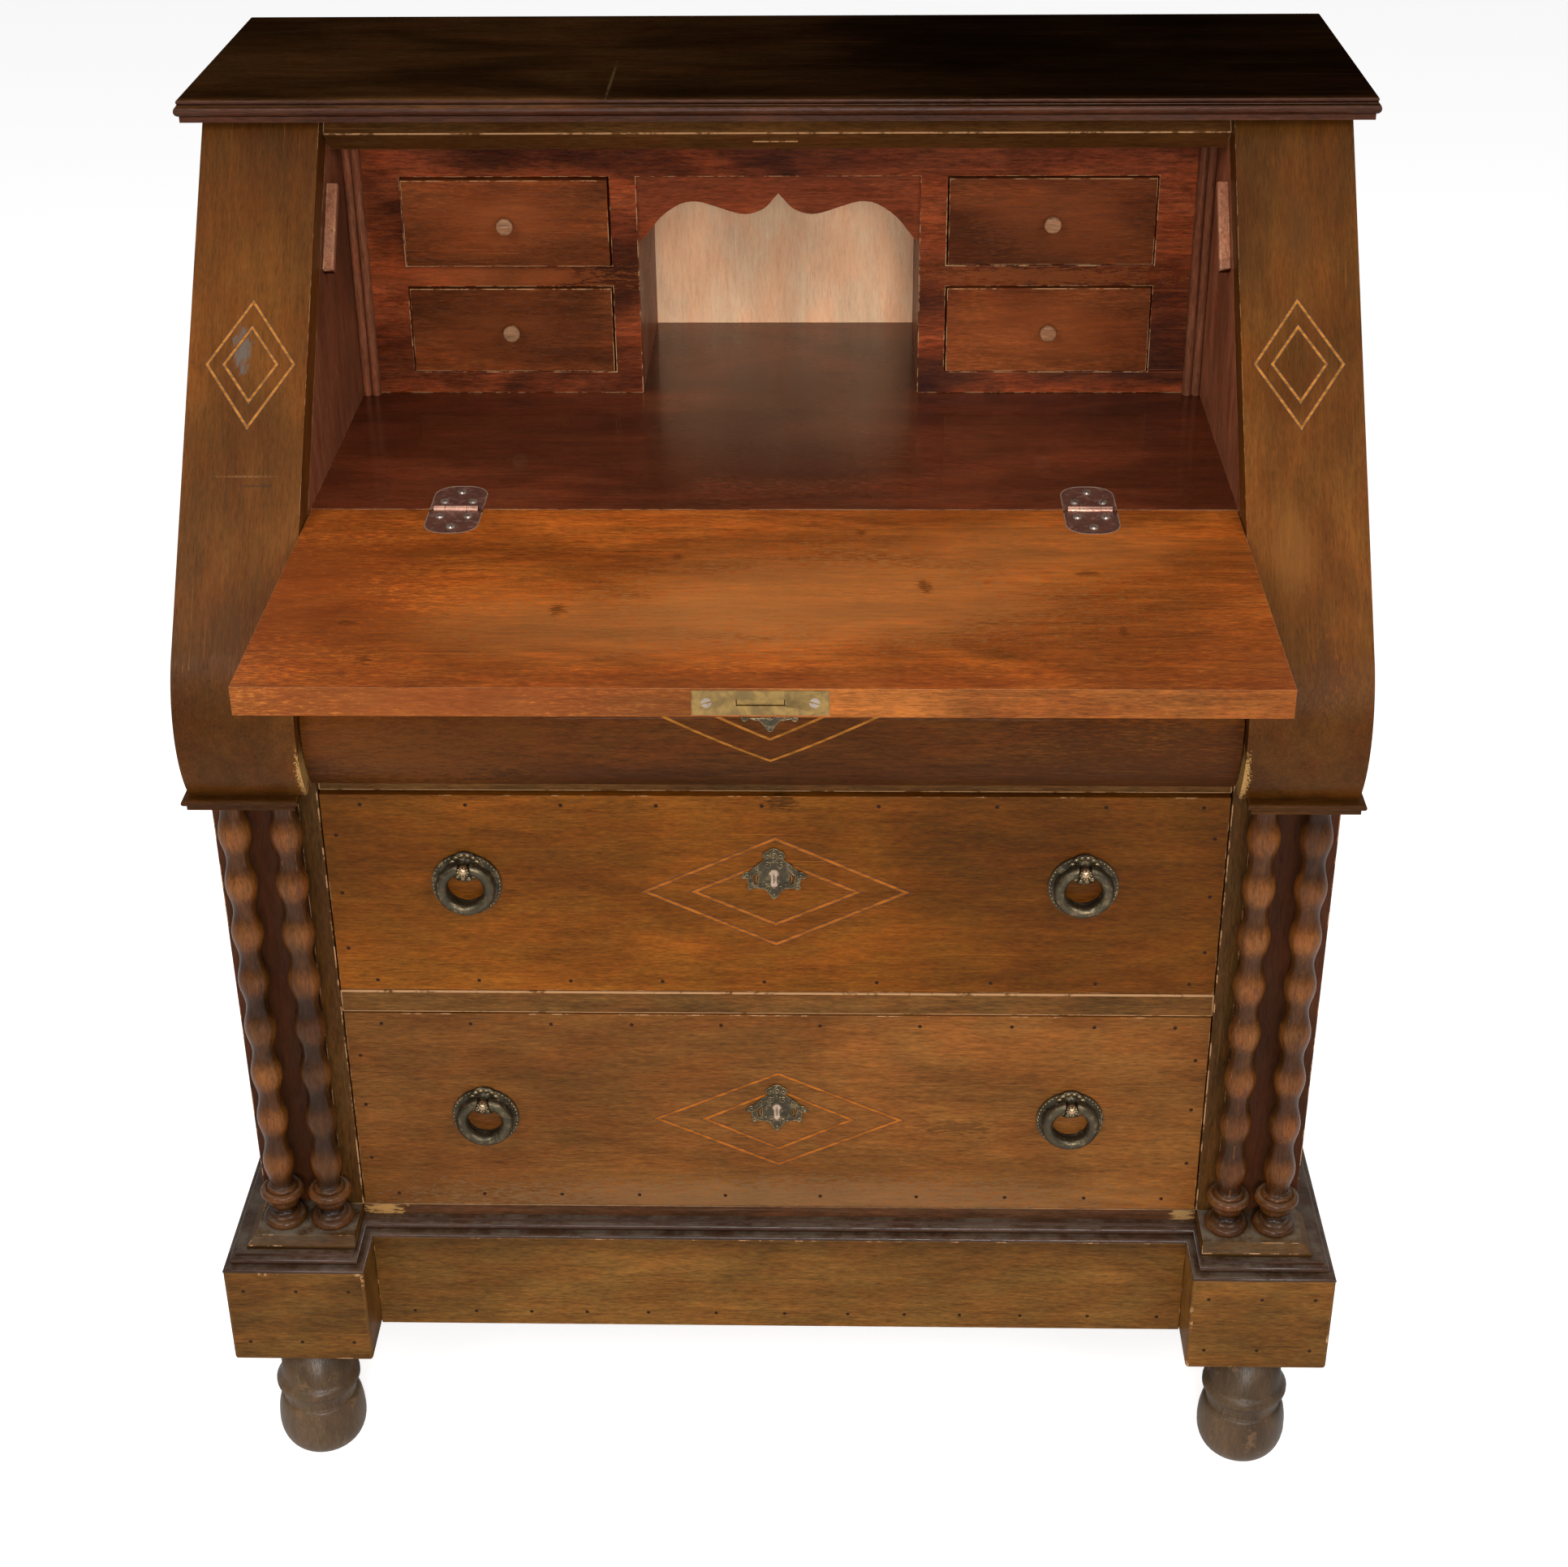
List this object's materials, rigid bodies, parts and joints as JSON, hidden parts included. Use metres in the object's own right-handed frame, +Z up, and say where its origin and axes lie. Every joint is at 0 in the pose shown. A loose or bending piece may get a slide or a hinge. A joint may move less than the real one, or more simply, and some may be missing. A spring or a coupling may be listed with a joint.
{
  "type": "slant-front desk",
  "caption": "Slant-front writing desk on ball feet: a fall flap, a bullnose top drawer, long drawers with ring pulls between turned columns, and pigeonholes inside.",
  "frame": {"origin": "floor level, at the middle of the footprint with the flap open", "axes": "+X to the right as seen from the front, +Y to the back, +Z up"},
  "size_m": [0.838, 0.6568, 1.012],
  "materials": {
    "dark_wood": "dark glossy polish",
    "case_wood": "old worn polish",
    "flap_wood": "old glossy polish",
    "drawer_wood": "old satin polish",
    "red_wood": "red-brown polish",
    "turned_wood": "turned, old polish",
    "plinth_wood": "worn, dusty polish",
    "pale_wood": "bare secondary wood",
    "dark_bronze": "darkened bronze",
    "copper_brass": "coppery patina",
    "lock_brass": "worn brass"
  },
  "bodies": {
    "case": {"top_board": "dark_wood", "top_rail": "red_wood", "left_side_panel": "case_wood", "right_side_panel": "case_wood", "left_slant_stile": "case_wood", "right_slant_stile": "case_wood", "inner_walls": "red_wood", "flap_stops": "pale_wood", "case_back": "pale_wood", "writing_bed": "red_wood", "bed_rail": "red_wood", "column_ledges": "case_wood", "column_panels": "case_wood", "front_stiles": "case_wood", "left_outer_column": "turned_wood", "left_inner_column": "turned_wood", "right_inner_column": "turned_wood", "right_outer_column": "turned_wood", "drawer_rails": "case_wood", "bottom_board": "case_wood", "drawer_runners": "pale_wood", "plinth_blocks": "plinth_wood", "plinth_boards": "plinth_wood", "plinth_apron": "plinth_wood", "plinth_moulding": "case_wood", "column_slabs": "case_wood", "ball_feet": "plinth_wood", "pigeonhole_frame": "red_wood", "pigeonhole_boards": "red_wood", "cubby_valance": "red_wood", "pilaster_beads": "red_wood", "bed_hinges": "copper_brass"},
    "flap": {"flap": "flap_wood", "flap_hinge_leaves": "copper_brass", "flap_lock": "lock_brass", "flap_escutcheon": "dark_bronze"},
    "flap_bolt": {"flap_bolt": "lock_brass"},
    "top_drawer": {"top_drawer_front": "drawer_wood", "top_drawer_box": "pale_wood", "top_drawer_escutcheon": "dark_bronze", "top_drawer_lock": "lock_brass"},
    "top_drawer_bolt": {"top_drawer_bolt": "lock_brass"},
    "upper_drawer": {"upper_drawer_front": "drawer_wood", "upper_drawer_box": "pale_wood", "upper_drawer_fittings": "dark_bronze", "upper_drawer_lock": "lock_brass"},
    "upper_drawer_bolt": {"upper_drawer_bolt": "lock_brass"},
    "upper_left_ring": {"upper_left_ring": "dark_bronze"},
    "upper_right_ring": {"upper_right_ring": "dark_bronze"},
    "lower_drawer": {"lower_drawer_front": "drawer_wood", "lower_drawer_box": "pale_wood", "lower_drawer_fittings": "dark_bronze", "lower_drawer_lock": "lock_brass"},
    "lower_drawer_bolt": {"lower_drawer_bolt": "lock_brass"},
    "lower_left_ring": {"lower_left_ring": "dark_bronze"},
    "lower_right_ring": {"lower_right_ring": "dark_bronze"},
    "small_drawer_upper_left": {"small_drawer_upper_left": "red_wood"},
    "small_drawer_lower_left": {"small_drawer_lower_left": "red_wood"},
    "small_drawer_upper_right": {"small_drawer_upper_right": "red_wood"},
    "small_drawer_lower_right": {"small_drawer_lower_right": "red_wood"}
  },
  "joints": [
    {"name": "flap_hinge", "type": "hinge", "parent": "case", "child": "flap", "pos_m": [0, -0.06263, 0.77], "axis": [-1, 0, 0], "range_deg": [0, 131]},
    {"name": "flap_bolt_slide", "type": "slide", "parent": "flap", "child": "flap_bolt", "axis": [0, -1, 0], "range_m": [0, 0.007]},
    {"name": "top_drawer_slide", "type": "slide", "parent": "case", "child": "top_drawer", "axis": [0, 1, 0], "range_m": [-0.28, 0]},
    {"name": "top_bolt_slide", "type": "slide", "parent": "top_drawer", "child": "top_drawer_bolt", "axis": [0, 0, 1], "range_m": [0, 0.007]},
    {"name": "upper_drawer_slide", "type": "slide", "parent": "case", "child": "upper_drawer", "axis": [0, 1, 0], "range_m": [-0.28, 0]},
    {"name": "upper_bolt_slide", "type": "slide", "parent": "upper_drawer", "child": "upper_drawer_bolt", "axis": [0, 0, 1], "range_m": [0, 0.007]},
    {"name": "lower_drawer_slide", "type": "slide", "parent": "case", "child": "lower_drawer", "axis": [0, 1, 0], "range_m": [-0.28, 0]},
    {"name": "lower_bolt_slide", "type": "slide", "parent": "lower_drawer", "child": "lower_drawer_bolt", "axis": [0, 0, 1], "range_m": [0, 0.007]},
    {"name": "upper_left_ring_hinge", "type": "hinge", "parent": "upper_drawer", "child": "upper_left_ring", "pos_m": [-0.219, -0.12676, 0.5232], "axis": [-1, 0, 0], "range_deg": [0, 100]},
    {"name": "upper_right_ring_hinge", "type": "hinge", "parent": "upper_drawer", "child": "upper_right_ring", "pos_m": [0.219, -0.12676, 0.5232], "axis": [-1, 0, 0], "range_deg": [0, 100]},
    {"name": "lower_left_ring_hinge", "type": "hinge", "parent": "lower_drawer", "child": "lower_left_ring", "pos_m": [-0.219, -0.12676, 0.3182], "axis": [-1, 0, 0], "range_deg": [0, 100]},
    {"name": "lower_right_ring_hinge", "type": "hinge", "parent": "lower_drawer", "child": "lower_right_ring", "pos_m": [0.219, -0.12676, 0.3182], "axis": [-1, 0, 0], "range_deg": [0, 100]},
    {"name": "small_drawer_upper_left_slide", "type": "slide", "parent": "case", "child": "small_drawer_upper_left", "axis": [0, 1, 0], "range_m": [-0.097, 0.003]},
    {"name": "small_drawer_lower_left_slide", "type": "slide", "parent": "case", "child": "small_drawer_lower_left", "axis": [0, 1, 0], "range_m": [-0.1, 0]},
    {"name": "small_drawer_upper_right_slide", "type": "slide", "parent": "case", "child": "small_drawer_upper_right", "axis": [0, 1, 0], "range_m": [-0.1, 0]},
    {"name": "small_drawer_lower_right_slide", "type": "slide", "parent": "case", "child": "small_drawer_lower_right", "axis": [0, 1, 0], "range_m": [-0.1, 0]}
  ]
}
